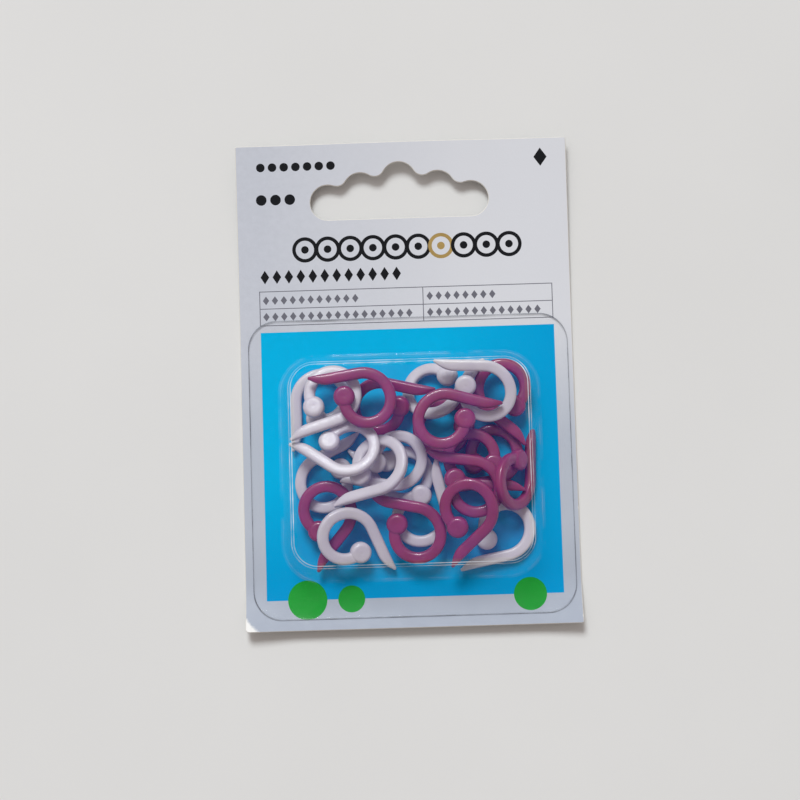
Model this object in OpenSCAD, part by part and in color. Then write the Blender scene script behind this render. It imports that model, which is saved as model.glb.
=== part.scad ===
// Carded blister pack of plastic stitch markers.
// The pack lies on its back: +Z points out of the printed face, +Y to the hang slot.
// Origin: middle of the card's back. Units: mm and degrees.

/* [Card] */
// Width of the card
card_w = 65; // [64:1:90]
// Length of the card, from its lower edge to its hanging edge
card_l = 95; // [90:1:130]
// Thickness of the card
card_t = 0.6; // [0.3:0.1:1.5]

/* [Hang slot] */
// Width of the slot, over its round ends
slot_w = 35; // [32:0.5:40]
// Distance from the card's hanging edge down to the slot's straight edge
slot_drop = 15; // [13.5:0.5:18]
// Shift of the slot's middle from the card's middle
slot_shift = -0.5; // [-2:0.1:2]
// Height of the slot at its round ends
slot_end_h = 6.9; // [6:0.1:7.5]
// Height of the slot at the two side waves
slot_wave_h = 9.1; // [8.5:0.1:9.5]
// Height of the slot at its middle wave, where a peg sits
slot_peak_h = 11; // [10.5:0.1:12]
// Distance of each side wave from the slot's middle
slot_wave_x = 7.6; // [7:0.1:8]
// Radius of the waves
slot_wave_r = 3.4; // [3.2:0.1:3.6]
// Radius of the hollows between the waves
slot_hollow_r = 2; // [1:0.1:3]

/* [Blister] */
// Thickness of the clear sheet
sheet_t = 0.3; // [0.2:0.05:0.3]
// Width of the flange that is sealed to the card
flange_w = 62.5; // [58:0.5:64]
// Length of the flange
flange_l = 58.3; // [52:0.5:60]
// Corner radius of the flange
flange_r = 5.6; // [3:0.1:8]
// Distance from the card's lower edge up to the middle of the blister
blister_up = 31.3; // [30:0.1:45]
// Shift of the blister's middle from the card's middle
blister_shift = 0.3; // [-0.5:0.1:0.5]
// Width of the bubble where it meets the flange
bubble_w = 50; // [50:0.5:54]
// Length of the bubble where it meets the flange
bubble_l = 43.2; // [43.2:0.2:46]
// Height of the bubble above the card
bubble_h = 11.2; // [11.2:0.1:14]
// Corner radius of the bubble where it meets the flange
bubble_r = 7; // [5:0.1:7]
// Lean of the bubble's walls from upright
wall_lean = 10; // [4:0.5:10]
// Radius from the flange into the wall, on the outside
foot_r = 0.8; // [0.5:0.1:1.2]
// Radius from the wall into the roof, on the outside
roof_r = 1.4; // [0.8:0.1:1.4]

/* [Marker] */
// Radius of the ring, on the middle of its band
ring_r = 4.45; // [4.2:0.05:4.45]
// Width of the band, seen from the front
band_w = 2.2; // [1.8:0.1:2.2]
// Thickness of the band, front to back
band_t = 1.7; // [1.4:0.1:1.7]
// Radius of the band's four edges
band_edge_r = 0.6; // [0.3:0.1:0.6]
// Distance from the ring's middle to the tip of the tail, along the tail
tail_reach = 10.5; // [9:0.1:10.5]
// Length of the tapered end of the tail
taper_l = 4; // [2:0.1:5]
// Half the width of the tail at its tip
tip_r = 0.35; // [0.2:0.05:0.5]
// Radius of the knob that the tail closes over
knob_r = 2.05; // [1.7:0.05:2.05]
// Thickness of the knob, front to back
knob_t = 2.2; // [1.8:0.1:2.2]
// Radius of the knob's edges
knob_edge_r = 0.8; // [0.4:0.1:0.8]
// Distance of the knob's middle from the ring's middle, towards the tail
knob_rise = 1.35; // [1.1:0.05:1.35]
// Gap between the knob and the tail that closes over it
tail_gap = 0.75; // [0.5:0.05:0.75]

/* [Hidden] */
// Steps in each rounded edge of a drawn outline
edge_steps = 3;
bend_steps = 5;
// Steps in each round of the slot
wave_steps = 8;
$fn = 96;

// Colours
CARD_GREY = [0.72, 0.73, 0.77];
CLEAR = [0.85, 0.93, 0.97, 0.35];
WHITE = [0.90, 0.86, 0.86];
PURPLE = [0.52, 0.14, 0.38];

blister_y = blister_up - card_l / 2;
slot_y = card_l / 2 - slot_drop;

// Bubble that the heap's places are given for; they spread with the real one
HEAP_ROOM = [50, 43.2, 11.2];
heap_spread = [bubble_w / HEAP_ROOM[0], bubble_l / HEAP_ROOM[1], bubble_h / HEAP_ROOM[2]];

// Each marker in the heap, one row each:
//   x and y of the ring's middle from the middle of the bubble, its height above the card,
//   heading of the tail, 1 if turned over, rise of the tip, roll about the tail.
WHITE_HEAP = [
    [-14.7, 13.9, 6.4, 197, 0, 0, 10],
    [-16.8, 13.8, 1.4, -90, 1, 0, 0],
    [-11.4, 3.4, 7.3, 145, 0, -15, 11],
    [-17.0, -3.3, 1.4, 25, 0, 0, 0],
    [-6.0, 0.3, 6.85, 193, 0, -15, 18],
    [-2.4, 1.1, 3.7, 169, 0, 0, 0],
    [-1.2, -1.8, 1.35, 125, 0, 0, 0],
    [1.4, -10.4, 2.8, 104, 1, 8, -4],
    [-13.0, -13.5, 5.6, -67, 0, -19, -8],
    [18.0, -12.6, 1.4, 191, 0, 0, 0],
    [15.0, 13.0, 7.1, 177, 1, -2, -10],
    [4.1, 14.2, 2.8, 57, 1, -2, -20]
];
PURPLE_HEAP = [
    [-8.0, 12.3, 9.1, 189, 1, 0, 0],
    [-6.3, 11.1, 3.2, -14, 0, 5, 20],
    [6.0, 7.9, 8.9, -16, 0, 0, 0],
    [18.0, 14.5, 3.3, -40, 1, 0, 0],
    [16.1, 1.9, 1.4, 188, 0, 0, 0],
    [11.6, 1.1, 3.8, -3, 1, 0, 0],
    [12.2, -5.2, 6.2, 171, 1, 2, 0],
    [19.6, -4.0, 5.45, 88, 1, 0, 51],
    [10.6, -8.7, 8.2, 222, 0, -14, -3],
    [0.8, -13.6, 4.6, 168, 1, -3, -10],
    [-16.5, -8.2, 3.7, -130, 0, -5, 0],
    [6.0, 6.9, 1.3, -12, 0, 0, 0]
];

function two_digits(i) = str(i < 10 ? "0" : "", i);
function marker_name(colour, i) = str("marker_", colour, "_", two_digits(i + 1));

function unit(a) = [cos(a), sin(a)];
function arc(middle, r, from, to, steps) =
    [for (i = [0:steps]) middle + r * unit(from + (to - from) * i / steps)];
function reversed(list) = [for (i = [len(list) - 1:-1:0]) list[i]];

// Middle of the circle of radius r that touches two others from outside, on the left of a to b
function touching(a, ra, b, rb, r) =
    let (
        gap = norm(b - a),
        along = ((ra + r) ^ 2 - (rb + r) ^ 2 + gap ^ 2) / (2 * gap),
        side = sqrt((ra + r) ^ 2 - along ^ 2),
        u = (b - a) / gap
    )
    a + along * u + side * [-u[1], u[0]];

module rounded_rect(w, l, r) {
    square([w - 2 * r, l], center = true);
    square([w, l - 2 * r], center = true);
    for (x = [-1, 1], y = [-1, 1])
        translate([x * (w / 2 - r), y * (l / 2 - r)])
            circle(r);
}

// Slot with a straight lower edge, round ends and three waves along its top
function heading(a, b) = atan2(b[1] - a[1], b[0] - a[0]);
function inner(list) = [for (i = [1:len(list) - 2]) list[i]];
function slot_half() =
    let (
        end_r = slot_end_h / 2,
        end = [slot_w / 2 - end_r, end_r],
        wave = [slot_wave_x, slot_wave_h - slot_wave_r],
        peak = [0, slot_peak_h - slot_wave_r],
        low = touching(wave, slot_wave_r, end, end_r, slot_hollow_r),
        high = touching(peak, slot_wave_r, wave, slot_wave_r, slot_hollow_r)
    )
    concat(
        arc(end, end_r, -90, heading(end, low), 2 * wave_steps),
        inner(arc(low, slot_hollow_r, heading(low, end), heading(low, wave), wave_steps)),
        arc(wave, slot_wave_r, heading(wave, low), heading(wave, high), wave_steps),
        inner(arc(high, slot_hollow_r, heading(high, wave), heading(high, peak), wave_steps)),
        arc(peak, slot_wave_r, heading(peak, high), 90, wave_steps)
    );

module slot() {
    half = slot_half();
    polygon(concat(half, [for (p = inner(concat(reversed(half), [[0, 0]]))) [-p[0], p[1]]]));
}

module card() {
    color(CARD_GREY)
        linear_extrude(card_t)
            difference() {
                square([card_w, card_l], center = true);
                translate([slot_shift, slot_y])
                    slot();
            }
}

// Outline of the bubble's wall in section, from the roof's flat to the flange's flat.
// x is measured outwards from the corner's axis and y up from the card's face.
foot_x = bubble_r - foot_r * tan(wall_lean) + foot_r / cos(wall_lean);
roof_x = foot_x
    + ((sheet_t + foot_r - bubble_h + roof_r) * sin(wall_lean) - foot_r - roof_r) / cos(wall_lean);
function wall_line(inset) = concat(
    arc([roof_x, bubble_h - roof_r], roof_r - inset, 90, wall_lean, bend_steps),
    arc([foot_x, sheet_t + foot_r], foot_r + inset, 180 + wall_lean, 270, bend_steps)
);

module wall_section() {
    polygon(concat(wall_line(0), reversed(wall_line(sheet_t))));
}

module bubble_walls() {
    half_w = bubble_w / 2 - bubble_r;
    half_l = bubble_l / 2 - bubble_r;
    for (quarter = [0:3]) {
        even = quarter % 2 == 0;
        away = even ? half_w : half_l;
        aside = even ? half_l : half_w;
        rotate([0, 0, 90 * quarter])
            translate([away, aside, 0]) {
                rotate_extrude(angle = 90)
                    wall_section();
                rotate([90, 0, 0])
                    linear_extrude(2 * aside)
                        wall_section();
            }
    }
}

module plate(w, l, r) {
    linear_extrude(sheet_t)
        rounded_rect(w, l, r);
}

module blister() {
    core_w = bubble_w - 2 * bubble_r;
    core_l = bubble_l - 2 * bubble_r;
    color(CLEAR)
        translate([blister_shift, blister_y, card_t]) {
            bubble_walls();
            translate([0, 0, bubble_h - sheet_t])
                plate(core_w + 2 * roof_x, core_l + 2 * roof_x, roof_x);
            linear_extrude(sheet_t)
                difference() {
                    rounded_rect(flange_w, flange_l, flange_r);
                    rounded_rect(core_w + 2 * foot_x, core_l + 2 * foot_x, foot_x);
                }
        }
}

// Radius of the bend that leads from the ring into the tail
bend_r = knob_rise + knob_r + tail_gap + band_w / 2;

// Section of the band, with its four edges rounded
function band_outline() = let (x = band_w / 2 - band_edge_r, y = band_t / 2 - band_edge_r) concat(
    arc([x, y], band_edge_r, 0, 90, edge_steps),
    arc([-x, y], band_edge_r, 90, 180, edge_steps),
    arc([-x, -y], band_edge_r, 180, 270, edge_steps),
    arc([x, -y], band_edge_r, 270, 360, edge_steps)
);

module band_arc(r, from, to) {
    rotate([0, 0, from])
        rotate_extrude(angle = to - from)
            translate([r, 0])
                polygon(band_outline());
}

module knob() {
    h = knob_t / 2 - knob_edge_r;
    rotate_extrude()
        polygon(concat(
            [[0, -knob_t / 2]],
            arc([knob_r - knob_edge_r, -h], knob_edge_r, 270, 360, edge_steps),
            arc([knob_r - knob_edge_r, h], knob_edge_r, 0, 90, edge_steps),
            [[0, knob_t / 2]]
        ));
}

// The tail runs along +X. Its outer edge is straight, and its inner edge curves out to the tip.
module tail(l) {
    side = band_w / 2;
    taper = taper_l - tip_r;
    rise = band_w - 2 * tip_r;
    intersection() {
        rotate([90, 0, 90])
            linear_extrude(l)
                polygon(band_outline());
        translate([0, 0, -band_t])
            linear_extrude(2 * band_t)
                polygon(concat(
                    [[-1, side], [-1, -side]],
                    [for (i = [0:bend_steps])
                        [l - taper_l + taper * i / bend_steps, -side + rise * (i / bend_steps) ^ 2]],
                    arc([l - tip_r, side - tip_r], tip_r, -45, 90, edge_steps)
                ));
    }
}

// One marker: ring in the XY plane around the origin, tail along +X
module marker() {
    knob_at = asin(knob_rise / ring_r);
    band_arc(ring_r, 180, 360 + knob_at);
    translate(ring_r * unit(knob_at))
        knob();
    translate([bend_r - ring_r, 0, 0]) {
        band_arc(bend_r, 90, 180);
        translate([0, bend_r, 0])
            tail(tail_reach + ring_r - bend_r);
    }
}

module heaped(row) {
    place = [for (i = [0:2]) row[i] * heap_spread[i]];
    translate([blister_shift, blister_y, card_t] + place)
        rotate([180 * row[4] + row[6], -row[5], row[3]])
            marker();
}

card();
blister();
for (i = [0:len(WHITE_HEAP) - 1])
    color(WHITE) heaped(WHITE_HEAP[i]);
for (i = [0:len(PURPLE_HEAP) - 1])
    color(PURPLE) heaped(PURPLE_HEAP[i]);
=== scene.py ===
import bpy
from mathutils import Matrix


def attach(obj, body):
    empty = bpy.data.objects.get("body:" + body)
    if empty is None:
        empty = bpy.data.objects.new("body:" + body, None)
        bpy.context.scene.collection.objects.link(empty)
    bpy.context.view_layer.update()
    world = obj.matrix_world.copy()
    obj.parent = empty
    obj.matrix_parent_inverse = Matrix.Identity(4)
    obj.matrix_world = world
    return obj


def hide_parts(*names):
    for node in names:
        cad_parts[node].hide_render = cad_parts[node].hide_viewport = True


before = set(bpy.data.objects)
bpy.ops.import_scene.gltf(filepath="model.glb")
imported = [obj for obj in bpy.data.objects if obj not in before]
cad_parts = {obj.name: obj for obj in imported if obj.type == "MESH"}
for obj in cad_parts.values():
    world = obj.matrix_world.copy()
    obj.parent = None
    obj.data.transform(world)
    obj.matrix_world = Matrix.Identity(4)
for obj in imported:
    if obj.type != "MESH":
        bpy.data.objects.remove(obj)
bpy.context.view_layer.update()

import math

import bmesh
import bpy
import numpy as np
from mathutils import Matrix, Vector
from mathutils.geometry import delaunay_2d_cdt

MM = 0.001

# Sizes in millimetres, as in the CAD model
CARD_W, CARD_L, CARD_T = 65.0, 95.0, 0.6
SLOT_W, SLOT_DROP, SLOT_SHIFT = 35.0, 15.0, -0.5
SLOT_END_H, SLOT_WAVE_H, SLOT_PEAK_H = 6.9, 9.1, 11.0
SLOT_WAVE_X, SLOT_WAVE_R, SLOT_HOLLOW_R = 7.6, 3.4, 2.0
SHEET_T = 0.3
FLANGE_W, FLANGE_L, FLANGE_R = 62.5, 58.3, 5.6
BLISTER_X, BLISTER_Y = 0.3, -16.2
BUBBLE_W, BUBBLE_L, BUBBLE_H, BUBBLE_R = 50.0, 43.2, 11.2, 7.0
WALL_LEAN = math.radians(10)
FOOT_R, ROOF_R = 0.8, 1.4
RING_R, BAND_W, BAND_T = 4.45, 2.2, 1.7
TAIL_REACH, TAPER_L, TIP_R = 10.5, 4.0, 0.35
KNOB_R, KNOB_T, KNOB_EDGE_R, KNOB_RISE, TAIL_GAP = 2.05, 2.2, 0.8, 1.35, 0.75
BEND_R = KNOB_RISE + KNOB_R + TAIL_GAP + BAND_W / 2
BEND_X = BEND_R - RING_R
KNOB_AT = math.asin(KNOB_RISE / RING_R)

# Each marker in the heap: x and y from the bubble's middle, height above the card,
# heading of the tail, 1 if turned over, rise of the tip, roll about the tail
WHITE_HEAP = [
    (-14.7, 13.9, 6.4, 197, 0, 0, 10),
    (-16.8, 13.8, 1.4, -90, 1, 0, 0),
    (-11.4, 3.4, 7.3, 145, 0, -15, 11),
    (-17.0, -3.3, 1.4, 25, 0, 0, 0),
    (-6.0, 0.3, 6.85, 193, 0, -15, 18),
    (-2.4, 1.1, 3.7, 169, 0, 0, 0),
    (-1.2, -1.8, 1.35, 125, 0, 0, 0),
    (1.4, -10.4, 2.8, 104, 1, 8, -4),
    (-13.0, -13.5, 5.6, -67, 0, -19, -8),
    (18.0, -12.6, 1.4, 191, 0, 0, 0),
    (15.0, 13.0, 7.1, 177, 1, -2, -10),
    (4.1, 14.2, 2.8, 57, 1, -2, -20),
]
PURPLE_HEAP = [
    (-8.0, 12.3, 9.1, 189, 1, 0, 0),
    (-6.3, 11.1, 3.2, -14, 0, 5, 20),
    (6.0, 7.9, 8.9, -16, 0, 0, 0),
    (18.0, 14.5, 3.3, -40, 1, 0, 0),
    (16.1, 1.9, 1.4, 188, 0, 0, 0),
    (11.6, 1.1, 3.8, -3, 1, 0, 0),
    (12.2, -5.2, 6.2, 171, 1, 2, 0),
    (19.6, -4.0, 5.45, 88, 1, 0, 51),
    (10.6, -8.7, 8.2, 222, 0, -14, -3),
    (0.8, -13.6, 4.6, 168, 1, -3, -10),
    (-16.5, -8.2, 3.7, -130, 0, -5, 0),
    (6.0, 6.9, 1.3, -12, 0, 0, 0),
]

# The card's curl off the table, below and above the bubble: where it starts along the card, the
# length over which it grows, its height at the card's edge, and how steeply it bends up
LOW_Y, LOW_L, LOW_H, LOW_BEND = -38.0, 9.5, 1.9, 1.7
HIGH_Y, HIGH_L, HIGH_H, HIGH_BEND = 7.0, 40.5, 2.5, 1.5
# The lower corners rise by CORNER_MORE above the middle, over CORNER_W beyond CORNER_X from the
# curl's own middle; away from the middle the upper edge falls by ARCH_LESS over ARCH_W
CURL_X, CORNER_X, CORNER_W, CORNER_MORE = 0.7, 24.0, 8.5, 0.35
ARCH_W, ARCH_LESS = 20, 0.2


def unit(a):
    return np.array([math.cos(a), math.sin(a)])


def arc(middle, r, a0, a1, steps):
    middle = np.asarray(middle, float)
    return [middle + r * unit(a0 + (a1 - a0) * i / steps) for i in range(steps + 1)]


def share(t):
    return min(1.0, max(0.0, t))


def lift(x, y):
    """How far the card has curled up off the table, outside the bubble."""
    low = share((LOW_Y - y) / LOW_L)
    high = share((y - HIGH_Y) / HIGH_L)
    side = share((abs(x - CURL_X) - CORNER_X) / CORNER_W)
    arch = min(1.0, (x / ARCH_W) ** 2)
    return (LOW_H * low ** LOW_BEND * (1 + CORNER_MORE * side)
            + HIGH_H * high ** HIGH_BEND * (1 - ARCH_LESS * arch))


def add_mesh(name, verts, faces, materials, face_mats=None, sharp=40):
    """Adds a mesh given in millimetres; edges over the angle sharp, in degrees, stay crisp."""
    mesh = bpy.data.meshes.new(name)
    mesh.from_pydata([tuple(MM * float(c) for c in v) for v in verts], [], faces)
    for material in materials:
        mesh.materials.append(material)
    if face_mats is not None:
        mesh.polygons.foreach_set("material_index", face_mats)
    mesh.update()
    mesh.shade_smooth()
    mesh.set_sharp_from_angle(angle=math.radians(sharp))
    obj = bpy.data.objects.new(name, mesh)
    bpy.context.collection.objects.link(obj)
    return obj


def srgb(r, g, b):
    def linear(c):
        c /= 255
        return c / 12.92 if c <= 0.04045 else ((c + 0.055) / 1.055) ** 2.4
    return (linear(r), linear(g), linear(b), 1.0)


# Materials
NOISE_LO, NOISE_HI = 0.3, 0.7         # most values of a noise lie between these


class Look:
    """A Principled material whose colour, roughness and bump come from procedural nodes."""

    def __init__(self, name, color, roughness, **uniform):
        self.mat = bpy.data.materials.new(name)
        self.mat.use_nodes = True
        self.tree = self.mat.node_tree
        self.nodes, self.links = self.tree.nodes, self.tree.links
        self.bsdf = self.nodes["Principled BSDF"]
        self.bsdf.inputs["Roughness"].default_value = roughness
        self.bsdf.inputs["Base Color"].default_value = color
        for key, value in uniform.items():
            socket = key.replace("_", " ").title().replace("Ior", "IOR")
            self.bsdf.inputs[socket].default_value = value
        self.place = self.nodes.new("ShaderNodeTexCoord").outputs["Object"]

    def noise(self, scale, detail=3.0, rough=0.6, stretch=None):
        """Noise with about that many blots in a metre."""
        node = self.nodes.new("ShaderNodeTexNoise")
        node.inputs["Scale"].default_value = scale
        node.inputs["Detail"].default_value = detail
        node.inputs["Roughness"].default_value = rough
        if stretch:
            mapping = self.nodes.new("ShaderNodeMapping")
            mapping.inputs["Scale"].default_value = stretch
            self.links.new(self.place, mapping.inputs["Vector"])
            self.links.new(mapping.outputs[0], node.inputs["Vector"])
        else:
            self.links.new(self.place, node.inputs["Vector"])
        return node.outputs["Fac"]

    def ramp(self, fac, stops):
        node = self.nodes.new("ShaderNodeValToRGB")
        elements = node.color_ramp.elements
        elements[0].position, elements[0].color = stops[0]
        elements[1].position, elements[1].color = stops[-1]
        for position, color in stops[1:-1]:
            element = elements.new(position)
            element.color = color
        self.links.new(fac, node.inputs["Fac"])
        return node.outputs["Color"]

    def span(self, fac, lo, hi, out_lo=0.0, out_hi=1.0):
        """Maps the values from lo to hi onto those from out_lo to out_hi."""
        node = self.nodes.new("ShaderNodeMapRange")
        for i, v in enumerate((lo, hi, out_lo, out_hi)):
            node.inputs[i + 1].default_value = v
        self.links.new(fac, node.inputs[0])
        return node.outputs[0]

    def varied(self, noise, out_lo=0.0, out_hi=1.0):
        """Spreads the usual values of a noise over the range from out_lo to out_hi."""
        return self.span(noise, NOISE_LO, NOISE_HI, out_lo, out_hi)

    def math(self, op, a, b):
        node = self.nodes.new("ShaderNodeMath")
        node.operation = op
        for socket, v in zip(node.inputs, (a, b)):
            if isinstance(v, (int, float)):
                socket.default_value = v
            else:
                self.links.new(v, socket)
        return node.outputs[0]

    def axes(self):
        node = self.nodes.new("ShaderNodeSeparateXYZ")
        self.links.new(self.place, node.inputs[0])
        return node.outputs

    def mix(self, fac, a, b):
        """The colour a where fac is 0, and b where it is 1."""
        node = self.nodes.new("ShaderNodeMix")
        node.data_type = "RGBA"
        for socket, v in zip((node.inputs[0], node.inputs[6], node.inputs[7]), (fac, a, b)):
            if isinstance(v, (int, float, tuple)):
                socket.default_value = v
            else:
                self.links.new(v, socket)
        return node.outputs[2]

    def color(self, socket):
        self.links.new(socket, self.bsdf.inputs["Base Color"])

    def rough(self, socket):
        self.links.new(socket, self.bsdf.inputs["Roughness"])

    def bump(self, height, distance, strength=1.0):
        node = self.nodes.new("ShaderNodeBump")
        node.inputs["Distance"].default_value = distance
        node.inputs["Strength"].default_value = strength
        self.links.new(height, node.inputs["Height"])
        self.links.new(node.outputs[0], self.bsdf.inputs["Normal"])


def shade(color, k):
    return tuple(min(1.0, c * k) for c in color[:3]) + (1.0,)


BARE_PAPER = srgb(238, 236, 233)
# Worn print, in metres: how deep the rub reaches at the board's edges, what of it shows no
# paper, the torn lower left corner's size, and the width of its soft edge
RUB_DEPTH, RUB_LEAST = 0.00034, 0.00008
TEAR_LEAST, TEAR_MOST, TEAR_SOFT = 0.0024, 0.0038, 0.0009


def printed(name, color, roughness, grain=0.06, fade=(), **uniform):
    """Ink on coated board: mottled a little, worn to white paper along the card's edge.

    Each fade is (ink, axis, from, to): the colour turns into that ink between the two places; on
    the silver print the fades are partly printed tone and partly painted reflection of the
    metallic ink."""
    look = Look(name, color, roughness, **uniform)
    mottle = look.varied(look.noise(900, 4))
    base = look.ramp(mottle, [(0, shade(color, 1 - grain)), (1, shade(color, 1 + grain))])
    x, y, _ = look.axes()
    for ink, axis, lo, hi in fade:
        base = look.mix(look.span((x, y)[axis], lo, hi), base, ink)
    edge_x = look.math("SUBTRACT", CARD_W / 2 * MM, look.math("ABSOLUTE", x, 0))
    edge_y = look.math("SUBTRACT", CARD_L / 2 * MM, look.math("ABSOLUTE", y, 0))
    edge = look.math("MINIMUM", edge_x, edge_y)
    rub = look.span(look.noise(420, 4), 0.42, 0.8, 0.0, RUB_DEPTH)
    worn = look.math("LESS_THAN", edge, look.math("SUBTRACT", rub, RUB_LEAST))
    from_left = look.math("ADD", x, CARD_W / 2 * MM)
    from_below = look.math("ADD", y, CARD_L / 2 * MM)
    corner = look.math("ADD", from_left, from_below)
    tear = look.span(look.noise(500, 4), 0.2, 0.8, TEAR_LEAST, TEAR_MOST)
    torn = look.span(look.math("SUBTRACT", tear, corner), 0.0, TEAR_SOFT)
    look.color(look.mix(look.math("MAXIMUM", worn, torn), base, BARE_PAPER))
    look.rough(look.varied(look.noise(250, 3), roughness - 0.06, roughness + 0.08))
    look.bump(look.noise(2600, 3), distance=0.00003, strength=0.5)
    return look.mat


def paper(name, color):
    """Bare board with fibres along one way."""
    look = Look(name, color, 0.85)
    fibres = look.noise(1400, 5, 0.7, (1.0, 0.25, 1.0))
    tone = look.varied(fibres)
    look.color(look.ramp(tone, [(0, shade(color, 0.88)), (1, shade(color, 1.05))]))
    look.bump(fibres, distance=0.00006, strength=0.7)
    return look.mat


def moulded(name, color, dark, light, coat):
    """Injection-moulded plastic: faint flow marks, and a skin that is rougher in patches."""
    look = Look(name, color, 0.32, specular_ior_level=0.5, coat_weight=coat, coat_roughness=0.07)
    flow = look.varied(look.noise(260, 4, 0.55))
    look.color(look.ramp(flow, [(0, shade(color, dark)), (1, shade(color, light))]))
    look.rough(look.varied(look.noise(900, 3), 0.30, 0.46))
    look.bump(look.noise(1100, 3), distance=0.00002, strength=0.6)
    return look.mat


def clear_sheet(name, face_on, glancing, color, roughness=0.06, patchy=0.6, coat=1.0):
    """Clear film that shows by face_on where it faces the eye and by glancing at its edges,
    with patches where it shows more, which make the painted shade, sheen and highlights of the
    films patchy."""
    look = Look(name, color, roughness, specular_ior_level=1.0, coat_weight=coat,
                coat_roughness=0.03)
    layer = look.nodes.new("ShaderNodeLayerWeight")
    layer.inputs["Blend"].default_value = 0.3
    # Patches of stronger film: painted sheen on the walls and bends, painted shade on the roof
    painted_patches = look.span(look.noise(150, 3), 0.4, 0.75, -0.6 * patchy * face_on, patchy * face_on)
    plain = look.span(layer.outputs["Facing"], 0.2, 1.0, face_on, glancing)
    look.links.new(look.math("ADD", plain, painted_patches), look.bsdf.inputs["Alpha"])
    look.rough(look.varied(look.noise(400, 3), roughness - 0.02, roughness + 0.05))
    look.bump(look.noise(110, 2, 0.5), distance=0.00012, strength=0.5)
    return look.mat


ACROSS, ALONG = 0, 1
# Silver print, lighter to the right and darker from the middle down, darker still at the bottom:
# partly printed tone, partly painted reflection of the metallic ink
SILVER_PRINT_AND_REFLECTION = printed("silver_print_painted_reflection", srgb(196, 199, 208), 0.5, 0.03, (
    (srgb(216, 217, 222), ACROSS, -0.028, 0.012),
    (srgb(184, 190, 201), ALONG, 0.012, -0.012),
    (srgb(164, 171, 185), ALONG, -0.028, -0.047)), specular_ior_level=0.3)
# Blue print, darker towards the right and towards the bottom
BLUE = printed("blue_print", srgb(0, 178, 227), 0.6, 0.03, (
    (srgb(0, 158, 214), ACROSS, 0.006, 0.030),
    (srgb(0, 148, 205), ALONG, -0.018, -0.042)), specular_ior_level=0.04)
GREEN = printed("green_print", srgb(12, 151, 44), 0.5, 0.04, specular_ior_level=0.15)
INK = printed("black_print", srgb(8, 10, 16), 0.5, 0.08, specular_ior_level=0.15)
GREY_INK = printed("grey_print", srgb(104, 104, 114), 0.5, 0.06, specular_ior_level=0.3)
GOLD = printed("gold_print", srgb(176, 146, 84), 0.35, 0.08, metallic=0.3)
CORE = paper("board_edge", srgb(226, 222, 214))
BACK = paper("board_back", srgb(214, 211, 204))
CARD_LOOKS = [SILVER_PRINT_AND_REFLECTION, BLUE, GREEN, INK, GREY_INK, GOLD, CORE, BACK]

WHITE_PLASTIC = moulded("white_plastic", srgb(203, 197, 202), 0.95, 1.04, 0.10)
PURPLE_PLASTIC = moulded("purple_plastic", srgb(140, 46, 90), 0.84, 1.08, 0.40)

# The roof film's blue-violet tint is painted shade: it turns the blue panel inside the bubble a
# deeper blue
SHEET_ROOF_PAINTED_SHADE = clear_sheet("clear_sheet_roof_painted_shade", 0.037, 0.16, srgb(130, 98, 240))
SHEET_FLAT = clear_sheet("clear_sheet_flat", 0.004, 0.12, srgb(90, 112, 132))
# The wall film's patchy whitish haze is painted sheen, standing in for broken reflections on the
# walls
SHEET_WALL_PAINTED_SHEEN = clear_sheet("clear_sheet_wall_painted_sheen", 0.026, 0.15, srgb(190, 205, 235), 0.08, 1.6)
# The edge film is painted shade: a darker, more opaque grey drawn as the dark line along the
# flange's edge
SHEET_EDGE_PAINTED_SHADE = clear_sheet("clear_sheet_edge_painted_shade", 0.50, 0.6, srgb(78, 84, 98), 0.42, 0.6, 0.0)
# The bend and foot films are painted highlights: whiter, more opaque film drawn as thin bright
# lines along the bends
SHEET_BEND_PAINTED_HIGHLIGHT = clear_sheet("clear_sheet_bend_painted_highlight", 0.55, 0.55, srgb(236, 246, 255), 0.1, 1.0)
SHEET_FOOT_PAINTED_HIGHLIGHT = clear_sheet("clear_sheet_foot_painted_highlight", 0.10, 0.3, srgb(252, 253, 255), 0.1, 1.8)
BLISTER_LOOKS = [SHEET_ROOF_PAINTED_SHADE, SHEET_FLAT, SHEET_WALL_PAINTED_SHEEN, SHEET_EDGE_PAINTED_SHADE, SHEET_BEND_PAINTED_HIGHLIGHT, SHEET_FOOT_PAINTED_HIGHLIGHT]


# The card, in millimetres
CORNER_R, WORN_CORNER_R, CORNER_STEPS = 0.3, 0.7, 4
SLOT_STEPS, SLOT_BASE_STEPS = 10, 28
CARD_BEVEL = 0.12
OUTLINE_STEP, PRINT_STEP = 1.6, 2.2
# Points spread over the face let it bend; their shift keeps them off the printed edges
GRID_X, GRID_Y, GRID_STEP, GRID_SHIFT = 31, 46, 2.0, (0.13, 0.17)
MERGE = 1e-5                                          # points closer than this are one
PANEL = (-28.4, -41.6, 29.0, 10.7)                    # left, lower, right and upper side
GREEN_DISCS = ((-20.5, 3.8), (-12.0, 2.6), (22.5, 3.2))   # x and radius, on the panel's edge
TABLE_LEFT, TABLE_RIGHT, TABLE_SPLIT = -28.5, 28.95, 3.5
TABLE_LOW, TABLE_HIGH, TABLE_MID, RULE_W = 12.0, 18.85, 15.3, 0.16
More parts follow.
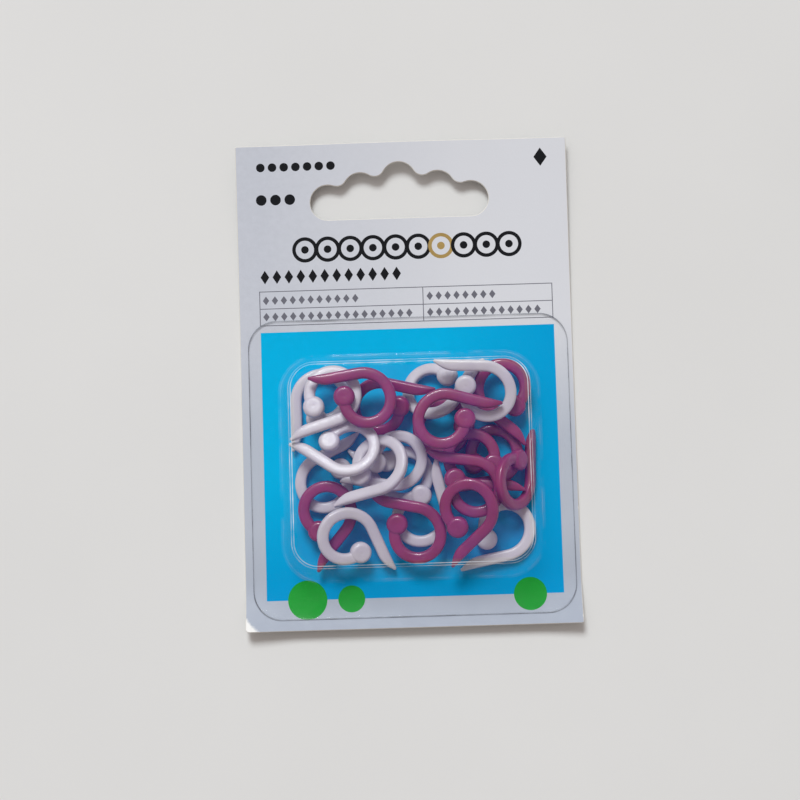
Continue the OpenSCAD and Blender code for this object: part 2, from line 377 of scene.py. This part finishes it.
# Rows of lozenges: first x, y, count, pitch, width, height, ink
LOZENGES = (
    (-27.2, 17.0, 11, 1.75, 1.25, 1.7, GREY_INK),
    (4.9, 17.0, 8, 1.75, 1.25, 1.7, GREY_INK),
    (-27.2, 13.8, 17, 1.75, 1.25, 1.7, GREY_INK),
    (4.9, 13.8, 13, 1.75, 1.25, 1.7, GREY_INK),
    (-27.3, 21.6, 12, 2.35, 1.7, 2.7, INK),
    (27.4, 43.7, 1, 0.0, 2.6, 3.6, INK),
)
CHAIN_X, CHAIN_Y, CHAIN_PITCH, CHAIN_COUNT, CHAIN_GOLD = -19.3, 26.8, 4.45, 10, 6
CHAIN_R, CHAIN_HOLE_R, CHAIN_DOT_R = 2.5, 1.8, 0.75
DOTS_X = -27.6
DOTS = ((43.2, 7, 2.3, 0.85), (36.8, 3, 2.8, 1.05))   # y, count, pitch, radius


def touching(a, ra, b, rb, r):
    """Middle of the circle of radius r that touches two others, on the left of a to b."""
    a, b = np.asarray(a, float), np.asarray(b, float)
    gap = np.linalg.norm(b - a)
    along = ((ra + r) ** 2 - (rb + r) ** 2 + gap ** 2) / (2 * gap)
    side = math.sqrt((ra + r) ** 2 - along ** 2)
    u = (b - a) / gap
    return a + along * u + side * np.array([-u[1], u[0]])


def heading(a, b):
    return math.atan2(b[1] - a[1], b[0] - a[0])


def slot_outline():
    """The hang slot: round ends, two low waves and a high one along its upper side."""
    end_r = SLOT_END_H / 2
    end = (SLOT_W / 2 - end_r, end_r)
    wave = (SLOT_WAVE_X, SLOT_WAVE_H - SLOT_WAVE_R)
    peak = (0, SLOT_PEAK_H - SLOT_WAVE_R)
    low = touching(wave, SLOT_WAVE_R, end, end_r, SLOT_HOLLOW_R)
    high = touching(peak, SLOT_WAVE_R, wave, SLOT_WAVE_R, SLOT_HOLLOW_R)
    steps = SLOT_STEPS
    half = arc(end, end_r, -math.pi / 2, heading(end, low), 2 * steps)
    half += arc(low, SLOT_HOLLOW_R, heading(low, end), heading(low, wave), steps)[1:-1]
    half += arc(wave, SLOT_WAVE_R, heading(wave, low), heading(wave, high), steps)
    half += arc(high, SLOT_HOLLOW_R, heading(high, wave), heading(high, peak), steps)[1:-1]
    half += arc(peak, SLOT_WAVE_R, heading(peak, high), math.pi / 2, steps)
    base = [np.array([x, 0.0]) for x in np.linspace(-end[0], end[0], SLOT_BASE_STEPS)[1:-1]]
    loop = half + [np.array([-p[0], p[1]]) for p in half[-2::-1]] + base
    y0 = CARD_L / 2 - SLOT_DROP
    return [p + np.array([SLOT_SHIFT, y0]) for p in loop]


def refined(loop, step):
    """The loop with more points, so that none of its sides is much longer than step."""
    out = []
    for p, q in zip(loop, loop[1:] + loop[:1]):
        n = max(1, int(np.linalg.norm(q - p) / step))
        out += [p + (q - p) * i / n for i in range(n)]
    return out


def card_outline():
    w, l = CARD_W / 2, CARD_L / 2
    loop = []
    for cx, cy, a, r in ((w, l, 0, CORNER_R), (-w, l, 90, CORNER_R),
                         (-w, -l, 180, WORN_CORNER_R), (w, -l, 270, CORNER_R)):
        middle = (cx - math.copysign(r, cx), cy - math.copysign(r, cy))
        loop += arc(middle, r, math.radians(a), math.radians(a + 90), CORNER_STEPS)
    return refined(loop, OUTLINE_STEP)


def inset(loop, d):
    """Moves a loop that runs anticlockwise inwards by d."""
    out = []
    n = len(loop)
    for i in range(n):
        t = loop[(i + 1) % n] - loop[i - 1]
        t = t / np.linalg.norm(t)
        out.append(loop[i] + d * np.array([-t[1], t[0]]))
    return out


def inside(loop, pts):
    x, y = pts[:, 0], pts[:, 1]
    hit = np.zeros(len(pts), bool)
    for (x0, y0), (x1, y1) in zip(loop, loop[1:] + loop[:1]):
        if y0 != y1:
            hit ^= ((y0 > y) != (y1 > y)) & (x < (x1 - x0) * (y - y0) / (y1 - y0) + x0)
    return hit


def corners(*pts):
    return [np.array(p, float) for p in pts]


def rect(x0, y0, x1, y1):
    return corners((x0, y0), (x1, y0), (x1, y1), (x0, y1))


def lozenge(x, y, w, h):
    return corners((x - w / 2, y), (x, y - h / 2), (x + w / 2, y), (x, y + h / 2))


def disc(x, y, r, n=40):
    return arc((x, y), r, 0, 2 * math.pi, n)[:-1]


def prints():
    """The printed shapes, each (outline, hole or None, material)."""
    shapes = [(rect(*PANEL), None, BLUE)]
    shapes += [(disc(x, PANEL[1], r), None, GREEN) for x, r in GREEN_DISCS]
    t = RULE_W
    rules = [(TABLE_LEFT, TABLE_HIGH - t, TABLE_RIGHT, TABLE_HIGH),
             (TABLE_LEFT, TABLE_LOW, TABLE_RIGHT, TABLE_LOW + t),
             (TABLE_LEFT + t, TABLE_MID, TABLE_SPLIT, TABLE_MID + t),
             (TABLE_SPLIT + t, TABLE_MID, TABLE_RIGHT - t, TABLE_MID + t)]
    rules += [(x, TABLE_LOW + t, x + t, TABLE_HIGH - t)
              for x in (TABLE_LEFT, TABLE_SPLIT, TABLE_RIGHT - t)]
    shapes += [(rect(*rule), None, GREY_INK) for rule in rules]
    for x, y, count, pitch, w, h, ink in LOZENGES:
        shapes += [(lozenge(x + pitch * i, y, w, h), None, ink) for i in range(count)]
    for i in range(CHAIN_COUNT):
        x = CHAIN_X + CHAIN_PITCH * i
        ink = GOLD if i == CHAIN_GOLD else INK
        shapes.append((disc(x, CHAIN_Y, CHAIN_R), disc(x, CHAIN_Y, CHAIN_HOLE_R), ink))
        shapes.append((disc(x, CHAIN_Y, CHAIN_DOT_R, 20), None, ink))
    for y, count, pitch, r in DOTS:
        shapes += [(disc(DOTS_X + pitch * i, y, r, 20), None, INK) for i in range(count)]
    return shapes


def card_face(rim, lip):
    """The printed face between rim and lip: its points, triangles and their material slots."""
    shapes = prints()
    points, edges = [], []

    def ring(loop):
        first, n = len(points), len(loop)
        points.extend(loop)
        edges.extend((first + i, first + (i + 1) % n) for i in range(n))

    ring(rim)
    ring(lip)
    for outline, hole, _ in shapes:
        ring(refined(outline, PRINT_STEP))
        if hole:
            ring(refined(hole, PRINT_STEP))
    for x in np.arange(-GRID_X, GRID_X + 0.5, GRID_STEP):
        for y in np.arange(-GRID_Y, GRID_Y + 0.5, GRID_STEP):
            points.append(np.array([x + GRID_SHIFT[0], y + GRID_SHIFT[1]]))
    verts, _, tris, *_ = delaunay_2d_cdt([Vector(p) for p in points], edges, [], 0, MERGE)
    flat = np.array([tuple(v) for v in verts])
    tris = np.array([t for t in tris if len(t) == 3])
    mid = flat[tris].mean(axis=1)
    keep = inside(rim, mid) & ~inside(lip, mid)
    tris, mid = tris[keep], mid[keep]
    slots = np.zeros(len(tris), int)
    for outline, hole, ink in shapes:
        hit = inside(outline, mid)
        if hole:
            hit &= ~inside(hole, mid)
        slots[hit] = CARD_LOOKS.index(ink)
    used = np.unique(tris)
    index = {int(k): i for i, k in enumerate(used)}
    flat = flat[used]

    def up(t):
        a, b, c = (flat[k] for k in t)
        return (b - a)[0] * (c - a)[1] - (b - a)[1] * (c - a)[0] > 0

    tris = [tuple(index[int(k)] for k in t) for t in tris]
    return flat, [t if up(t) else t[::-1] for t in tris], list(slots)


def build_card():
    rim, lip = inset(card_outline(), CARD_BEVEL), inset(slot_outline(), -CARD_BEVEL)
    flat, tris, face_mats = card_face(rim, lip)
    n = len(flat)
    verts = [(x, y, CARD_T + lift(x, y)) for x, y in flat] + [(x, y, lift(x, y)) for x, y in flat]
    faces = tris + [tuple(n + k for k in t[::-1]) for t in tris]
    face_mats += [CARD_LOOKS.index(BACK)] * len(tris)
    # Walls along each open edge of the face, bulged out to the card's true outline
    sides = {(a, b) for t in tris for a, b in zip(t, t[1:] + t[:1])}
    border = [(a, b) for t in tris for a, b in zip(t, t[1:] + t[:1]) if (b, a) not in sides]
    after = dict(border)
    before = {b: a for a, b in border}
    wall = {}
    for a, _ in border:
        t = flat[after[a]] - flat[before[a]]
        t = t / np.linalg.norm(t)
        x, y = flat[a] + CARD_BEVEL * np.array([t[1], -t[0]])
        z = lift(*flat[a])
        wall[a] = (len(verts), len(verts) + 1)
        verts += [(x, y, z + CARD_T - CARD_BEVEL), (x, y, z + CARD_BEVEL)]
    for a, b in border:
        (a1, a2), (b1, b2) = wall[a], wall[b]
        faces += [(b, a, a1, b1), (b1, a1, a2, b2), (b2, a2, n + a, n + b)]
        face_mats += [CARD_LOOKS.index(CORE)] * 3
    return add_mesh("card_board", verts, faces, CARD_LOOKS, face_mats, sharp=30)


card = build_card()
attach(card, "pack")
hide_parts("card")


# The blister. Its two skins are rows of loops, counted from the roof's middle out to the rim
ROOF_ROWS = (0.02, 0.25, 0.5, 0.75, 0.92)             # shares of the way to the corners' middles
ROOF_ROUND, ROOF_FLAT_ROWS = 0.4, 5
WALL_ROWS = (0.2, 0.4, 0.6, 0.8)
FLANGE_ROWS = (0.15, 0.35, 0.6, 0.85, 0.97, 1.0)
ROOF_BEND_STEPS, FOOT_BEND_STEPS = 10, 7
QUARTER_STEPS, SIDE_STEPS = 14, (24, 20)              # along a loop: its corners and its sides
RIM_IN, RIM_DOWN = 0.05, 0.07                         # the flange's rounded upper rim
SEAT = 0.02                                           # the flange stays this far off the card
# Where the roof and the foot end, and the outer skin's rows in both bends that are drawn in
# whiter,
# more opaque film: painted highlights as thin lines
ROOF_END, FOOT_END = 10, 32
PAINTED_HIGHLIGHT_ROWS = {13: SHEET_BEND_PAINTED_HIGHLIGHT, 16: SHEET_BEND_PAINTED_HIGHLIGHT, 28: SHEET_FOOT_PAINTED_HIGHLIGHT}


def loop_points(hw, hl, r):
    """Points round a rectangle of half-sizes hw and hl, grown by r, anticlockwise from +X."""
    out = []
    middles = ((hw, hl, 0), (-hw, hl, 90), (-hw, -hl, 180), (hw, -hl, 270))
    for k, (cx, cy, a0) in enumerate(middles):
        for i in range(QUARTER_STEPS + 1):
            u = unit(math.radians(a0 + 90 * i / QUARTER_STEPS))
            out.append(np.array([cx, cy]) + r * u)
        nx, ny, a1 = middles[(k + 1) % 4]
        u = unit(math.radians(a1))
        p, q = np.array([cx, cy]) + r * u, np.array([nx, ny]) + r * u
        n = SIDE_STEPS[k % 2]
        out += [p + (q - p) * i / n for i in range(1, n)]
    return out


def blister_rows(t):
    """Rows of the skin t inside the outer one, each (half-width, half-length, radius, height)."""
    hw, hl = BUBBLE_W / 2 - BUBBLE_R, BUBBLE_L / 2 - BUBBLE_R
    fw, fl = FLANGE_W / 2 - FLANGE_R, FLANGE_L / 2 - FLANGE_R
    foot_x = BUBBLE_R - FOOT_R * math.tan(WALL_LEAN) + FOOT_R / math.cos(WALL_LEAN)
    roof_x = foot_x + ((SHEET_T + FOOT_R - BUBBLE_H + ROOF_R) * math.sin(WALL_LEAN)
                       - FOOT_R - ROOF_R) / math.cos(WALL_LEAN)
    rows = [(hw * k, hl * k, ROOF_ROUND, BUBBLE_H - t) for k in ROOF_ROWS]
    rows += [(hw, hl, r, BUBBLE_H - t)
             for r in np.linspace(2 * ROOF_ROUND, roof_x, ROOF_FLAT_ROWS + 1)[:-1]]
    for i in range(ROOF_BEND_STEPS + 1):
        a = math.radians(90) - (math.radians(90) - WALL_LEAN) * i / ROOF_BEND_STEPS
        rows.append((hw, hl, roof_x + (ROOF_R - t) * math.cos(a),
                     BUBBLE_H - ROOF_R + (ROOF_R - t) * math.sin(a)))
    foot_z = SHEET_T + FOOT_R
    x0, z0 = rows[-1][2], rows[-1][3]
    x1 = foot_x - (FOOT_R + t) * math.cos(WALL_LEAN)
    z1 = foot_z - (FOOT_R + t) * math.sin(WALL_LEAN)
    rows += [(hw, hl, x0 + (x1 - x0) * k, z0 + (z1 - z0) * k) for k in WALL_ROWS]
    for i in range(FOOT_BEND_STEPS + 1):
        a = math.pi + WALL_LEAN + (math.pi / 2 - WALL_LEAN) * i / FOOT_BEND_STEPS
        rows.append((hw, hl, foot_x + (FOOT_R + t) * math.cos(a),
                     foot_z + (FOOT_R + t) * math.sin(a)))
    z = SHEET_T - t
    rows += [(hw + (fw - hw) * k, hl + (fl - hl) * k, foot_x + (FLANGE_R - foot_x) * k, z)
             for k in FLANGE_ROWS]
    if t == 0:
        w, l, r, _ = rows.pop()
        rows += [(w, l, r - RIM_IN, z), (w, l, r, z - RIM_DOWN)]
    return rows


def build_blister():
    outer, inner = blister_rows(0), blister_rows(SHEET_T - SEAT)
    verts, faces, slots, starts = [], [], [], []
    for w, l, r, z in outer + inner:
        starts.append(len(verts))
        for p in loop_points(w, l, r):
            x, y = p[0] + BLISTER_X, p[1] + BLISTER_Y
            verts.append((x, y, CARD_T + z + lift(x, y)))
    size, n = starts[1], len(outer)

    def skin(a, b, flip, look):
        for i in range(size):
            j = (i + 1) % size
            quad = (a + i, b + i, b + j, a + j)
            faces.append(quad[::-1] if flip else quad)
            slots.append(BLISTER_LOOKS.index(look))

    for k in range(len(starts) - 1):
        if k == n - 1:
            continue
        row = k if k < n else k - n
        look = SHEET_ROOF_PAINTED_SHADE if row < ROOF_END else SHEET_WALL_PAINTED_SHEEN if row < FOOT_END else SHEET_FLAT
        if k in (n - 3, n - 2):
            look = SHEET_EDGE_PAINTED_SHADE
        skin(starts[k], starts[k + 1], k >= n, PAINTED_HIGHLIGHT_ROWS.get(k, look))
    skin(starts[n - 1], starts[-1], False, SHEET_EDGE_PAINTED_SHADE)
    faces.append(tuple(range(size)))
    faces.append(tuple(range(starts[n], starts[n] + size))[::-1])
    slots += [BLISTER_LOOKS.index(SHEET_ROOF_PAINTED_SHADE)] * 2
    return add_mesh("blister_shell", verts, faces, BLISTER_LOOKS, slots, sharp=60)


blister = build_blister()
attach(blister, "pack")
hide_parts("blister")


# The markers
BAND_STEPS, BAND_POWER = 28, 3.3      # points of the band's section, and how square it is
TIP_STEPS, TAPER_STEPS, TAIL_STEPS, BEND_STEPS, RING_STEPS = 6, 13, 12, 17, 46
TIP_THICK, TIP_LEAST = 1.35, 0.1      # the tip's thickness to its width, and its blunt end
KNOB_STEPS, KNOB_PARTING = 56, 0.06   # points round the knob, and half of its parting line
# The knob's face from its middle out, as radius and depth: the gate mark, then a low dome
KNOB_FACE = ((0.08, 0.016), (0.16, 0.014), (0.24, 0.0), (0.7, 0.004), (1.0, 0.012))
KNOB_EDGE_FROM, KNOB_EDGE_STEPS = 0.1, 9


def band_section(a, b):
    """Rounded section, half as wide as a and half as thick as b."""
    def rounded(v):
        return math.copysign(abs(v) ** (2 / BAND_POWER), v)
    turns = [2 * math.pi * i / BAND_STEPS for i in range(BAND_STEPS)]
    return [(a * rounded(math.cos(t)), b * rounded(math.sin(t))) for t in turns]


def tube_faces(rows, n, flip=False):
    """Faces of a tube of that many rows of n points each, with a cap at both ends."""
    faces = []
    for k in range(rows - 1):
        for i in range(n):
            a, b = k * n + i, k * n + (i + 1) % n
            faces.append((b, a, a + n, b + n) if flip else (a, b, b + n, a + n))
    start, end = tuple(range(n)), tuple(range((rows - 1) * n, rows * n))
    return faces + ([start, end[::-1]] if flip else [start[::-1], end])


def band_mesh():
    """The hook: tip, tapered tail, bend and ring, swept as one closed tube."""
    a, b = BAND_W / 2, BAND_T / 2
    up = np.array([0.0, 1.0])
    stations = []      # middle, outward direction, half width, half thickness
    for t in np.linspace(0.05, math.pi / 2, TIP_STEPS):
        blunt = max(TIP_LEAST, math.sin(t))
        x = TAIL_REACH - TIP_R * (1 - math.cos(t))
        stations.append((np.array([x, BEND_R + a - TIP_R]), up, TIP_R * blunt,
                         TIP_THICK * TIP_R * blunt))
    for k in np.linspace(0, 1, TAPER_STEPS)[1:]:
        inner = -a + (BAND_W - 2 * TIP_R) * (1 - k) ** 2
        thick = b - (b - TIP_THICK * TIP_R) * (1 - k) ** 3
        x = TAIL_REACH - TIP_R - (TAPER_L - TIP_R) * k
        stations.append((np.array([x, BEND_R + (a + inner) / 2]), up, (a - inner) / 2, thick))
    for x in np.linspace(TAIL_REACH - TAPER_L, BEND_X, TAIL_STEPS)[1:-1]:
        stations.append((np.array([x, BEND_R]), up, a, b))
    for t in np.linspace(math.pi / 2, math.pi, BEND_STEPS)[:-1]:
        stations.append((np.array([BEND_X, 0]) + BEND_R * unit(t), unit(t), a, b))
    for t in np.linspace(math.pi, 2 * math.pi + KNOB_AT, RING_STEPS):
        stations.append((RING_R * unit(t), unit(t), a, b))
    verts = []
    for middle, u, w, h in stations:
        for s, z in band_section(w, h):
            p = middle + s * u
            verts.append((p[0], p[1], z))
    return verts, tube_faces(len(stations), BAND_STEPS)


def knob_mesh():
    """The round knob at the ring's end, slightly domed, with a faint gate mark on each face."""
    n, h, e = KNOB_STEPS, KNOB_T / 2, KNOB_EDGE_R
    half = [(r, h - depth) for r, depth in KNOB_FACE]
    half += [(KNOB_R - e + e * math.sin(t), h - e + e * math.cos(t))
             for t in np.linspace(KNOB_EDGE_FROM, math.pi / 2, KNOB_EDGE_STEPS)]
    profile = half + [(r, -z) for r, z in half[::-1]]
    profile[len(half) - 1] = (KNOB_R, KNOB_PARTING)
    profile[len(half)] = (KNOB_R, -KNOB_PARTING)
    cx, cy = RING_R * unit(KNOB_AT)
    turns = [2 * math.pi * i / n for i in range(n)]
    verts = [(cx + r * math.cos(t), cy + r * math.sin(t), z) for r, z in profile for t in turns]
    return verts, tube_faces(len(profile), n, flip=True)


def face_outwards(obj):
    bm = bmesh.new()
    bm.from_mesh(obj.data)
    bmesh.ops.recalc_face_normals(bm, faces=bm.faces)
    bm.to_mesh(obj.data)
    bm.free()


def master_marker():
    """Band and knob as one closed skin: points in millimetres, and faces."""
    band = add_mesh("marker_band", *band_mesh(), [WHITE_PLASTIC])
    knob = add_mesh("marker_knob", *knob_mesh(), [WHITE_PLASTIC])
    face_outwards(band)
    face_outwards(knob)
    join = band.modifiers.new("join", "BOOLEAN")
    join.operation = "UNION"
    join.solver = "EXACT"
    join.object = knob
    done = band.evaluated_get(bpy.context.evaluated_depsgraph_get()).to_mesh()
    verts = np.array([tuple(v.co) for v in done.vertices]) / MM
    faces = [tuple(p.vertices) for p in done.polygons]
    for obj in (band, knob):
        mesh = obj.data
        bpy.data.objects.remove(obj)
        bpy.data.meshes.remove(mesh)
    return verts, faces


def rotation(degrees, axis):
    return Matrix.Rotation(math.radians(degrees), 3, axis)


def turned(row):
    """Turn and place of one marker of the heap."""
    x, y, z, head, over, rise, roll = row
    turn = rotation(head, "Z") @ rotation(-rise, "Y") @ rotation(180 * over + roll, "X")
    return np.array(turn), np.array([BLISTER_X + x, BLISTER_Y + y, CARD_T + z])


marker_verts, marker_faces = master_marker()
for colour, heap, plastic in (("white", WHITE_HEAP, WHITE_PLASTIC),
                              ("purple", PURPLE_HEAP, PURPLE_PLASTIC)):
    for i, row in enumerate(heap):
        turn, at = turned(row)
        label = "%s_%02d" % (colour, i + 1)
        piece = add_mesh("hook_" + label, marker_verts @ turn.T + at, marker_faces, [plastic],
                         sharp=38)
        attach(piece, "loose_" + label)
        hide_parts("marker_" + label)


# Table, light and camera
FLOOR_HALF, FLOOR_Z = 1500.0, -0.03   # in millimetres
WINDOW_AT = Vector((-0.14, 0.64, 0.82)).normalized() * 0.6
WINDOW_ANGLE = math.radians(22.0)
CEILING_AT, CEILING_SIZE = Vector((-0.25, 0.30, 0.60)), 0.5
WINDOW_ENERGY, WINDOW_COLOR = 2.08, (0.97, 1.03, 1.06)
CEILING_ENERGY, CEILING_COLOR = 0.55, (0.97, 0.98, 1.0)
ROOM_COLOR, ROOM_STRENGTH = (1.0, 0.91, 0.88, 1.0), 0.38
CAMERA_AT = Vector((0.741, -41.93, 388.83))           # in millimetres
CAMERA_TURN = (1.766, -0.335, -5.683)                 # about Z, Y and X, in degrees
CAMERA_LENS, CAMERA_SENSOR, CAMERA_NEAR = 90, 36, 0.01


def build_floor():
    look = Look("table_top", srgb(222, 221, 219), 0.75)
    tone = look.varied(look.noise(9, 4))
    look.color(look.ramp(tone, [(0, srgb(219, 218, 216)), (1, srgb(223, 222, 220))]))
    look.bump(look.noise(500, 3), distance=0.00005, strength=0.2)
    s, z = FLOOR_HALF, FLOOR_Z
    verts = [(-s, -s, z), (s, -s, z), (s, s, z), (-s, s, z)]
    return add_mesh("table", verts, [(0, 1, 2, 3)], [look.mat])


def add_lamp(name, kind, energy, color, at):
    """Adds a lamp that shines from a point towards the pack."""
    light = bpy.data.lights.new(name, kind)
    light.energy = energy
    light.color = color
    obj = bpy.data.objects.new(name, light)
    obj.location = at
    obj.rotation_euler = at.to_track_quat("Z", "Y").to_euler()
    bpy.context.collection.objects.link(obj)
    return light


build_floor()
window = add_lamp("window", "SUN", WINDOW_ENERGY, WINDOW_COLOR, WINDOW_AT)
window.angle = WINDOW_ANGLE
ceiling = add_lamp("ceiling", "AREA", CEILING_ENERGY, CEILING_COLOR, CEILING_AT)
ceiling.size = CEILING_SIZE

world = bpy.data.worlds.new("room")
bpy.context.scene.world = world
world.use_nodes = True
background = world.node_tree.nodes["Background"]
background.inputs["Color"].default_value = ROOM_COLOR
background.inputs["Strength"].default_value = ROOM_STRENGTH

camera = bpy.data.cameras.new("camera")
camera.sensor_width = CAMERA_SENSOR
camera.lens = CAMERA_LENS
camera.clip_start = CAMERA_NEAR
camera_obj = bpy.data.objects.new("camera", camera)
about_z, about_y, about_x = CAMERA_TURN
look_turn = rotation(about_z, "Z") @ rotation(about_y, "Y") @ rotation(about_x, "X")
camera_obj.matrix_world = look_turn.transposed().to_4x4()
camera_obj.location = CAMERA_AT * MM
bpy.context.collection.objects.link(camera_obj)
bpy.context.scene.camera = camera_obj
bpy.context.scene.view_settings.view_transform = "Standard"

bpy.context.view_layer.update()
